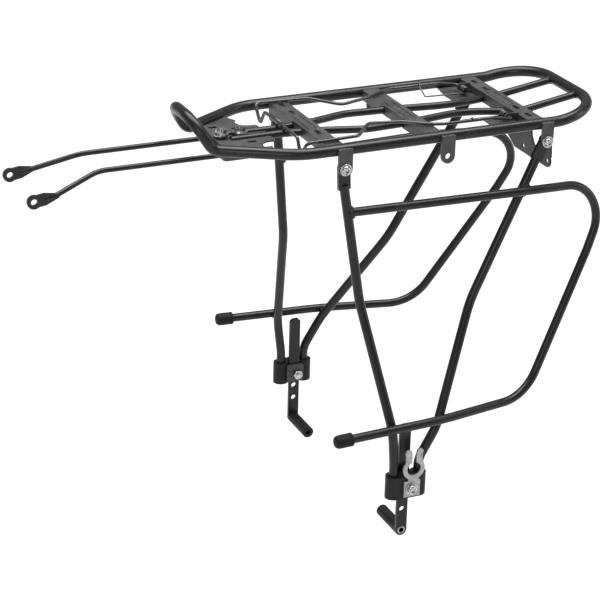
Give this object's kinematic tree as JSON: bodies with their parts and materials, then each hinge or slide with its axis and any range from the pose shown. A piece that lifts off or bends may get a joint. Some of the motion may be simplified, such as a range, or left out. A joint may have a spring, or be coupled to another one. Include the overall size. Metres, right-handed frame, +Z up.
{
  "type": "rear rack",
  "caption": "Black tubular bicycle luggage rack with sprung clip, side bag rails, adjustable feet and two front stays.",
  "frame": {"origin": "centre of the overall footprint, level with the lowest point of the feet", "axes": "+X to the rear of the bicycle, +Y to the rider's right, +Z up"},
  "size_m": [0.6108, 0.3294, 0.447],
  "materials": {
    "tube_black": "satin",
    "plate_black": "satin",
    "clamp_black": "matte",
    "cap_rubber": "matte",
    "spring_wire": "semi-gloss",
    "fastener_zinc": "bright zinc plate",
    "hook_zinc": "cast, bright"
  },
  "bodies": {
    "rack": {"deck_rail": "tube_black", "inner_rod_left": "tube_black", "inner_rod_right": "tube_black", "front_plate": "plate_black", "cross_plate_front": "plate_black", "cross_plate_middle": "plate_black", "cross_plate_rear": "plate_black", "light_bracket": "tube_black", "front_leg_tab_left": "plate_black", "front_leg_tab_right": "plate_black", "rear_leg_tab_left": "plate_black", "rear_leg_tab_right": "plate_black", "strap_eye_left": "plate_black", "strap_eye_right": "plate_black", "front_leg_left": "tube_black", "front_leg_right": "tube_black", "rear_leg_left": "tube_black", "rear_leg_right": "tube_black", "pannier_rail_left": "tube_black", "pannier_rail_right": "tube_black", "rail_cap_left": "cap_rubber", "rail_cap_right": "cap_rubber", "leg_clamp_left": "clamp_black", "leg_clamp_right": "clamp_black", "clamp_cover_left": "plate_black", "clamp_cover_right": "plate_black", "clamp_bolt_left": "fastener_zinc", "clamp_bolt_right": "fastener_zinc", "clamp_nut_left": "fastener_zinc", "clamp_nut_right": "fastener_zinc", "clamp_washer_left": "fastener_zinc", "clamp_spacer_right": "fastener_zinc", "bungee_hook": "hook_zinc", "leg_bolts_left": "fastener_zinc", "leg_bolts_right": "fastener_zinc", "leg_nuts_left": "fastener_zinc", "leg_nuts_right": "fastener_zinc", "stay_saddle_upper": "plate_black", "stay_saddle_lower": "plate_black", "stay_clamp_bolts": "fastener_zinc", "stay_clamp_nuts": "fastener_zinc", "stay_clamp_washers": "fastener_zinc", "clip_spring_left": "spring_wire", "clip_spring_right": "spring_wire"},
    "luggage_clip": {"clip_wire": "spring_wire"},
    "front_stay_left": {"stay_left": "tube_black"},
    "front_stay_right": {"stay_right": "tube_black"},
    "foot_left": {"foot_strut_left": "tube_black", "foot_spacer_left": "clamp_black"},
    "foot_right": {"foot_strut_right": "tube_black", "foot_spacer_right": "clamp_black"}
  },
  "joints": [
    {"name": "clip_hinge", "type": "hinge", "parent": "rack", "child": "luggage_clip", "pos_m": [0.2026, 0, 0.4126], "axis": [0, 1, 0], "range_deg": [0, 80], "stiffness_Nm_per_rad": 0.6, "springref_deg": -34.38},
    {"name": "stay_slide_left", "type": "slide", "parent": "rack", "child": "front_stay_left", "axis": [1, 0, 0], "range_m": [-0.008, 0.03]},
    {"name": "stay_slide_right", "type": "slide", "parent": "rack", "child": "front_stay_right", "axis": [1, 0, 0], "range_m": [-0.008, 0.03]},
    {"name": "foot_slide_left", "type": "slide", "parent": "rack", "child": "foot_left", "axis": [0, 0, 1], "range_m": [-0.025, 0.03]},
    {"name": "foot_slide_right", "type": "slide", "parent": "rack", "child": "foot_right", "axis": [0, 0, 1], "range_m": [-0.025, 0.03]}
  ]
}
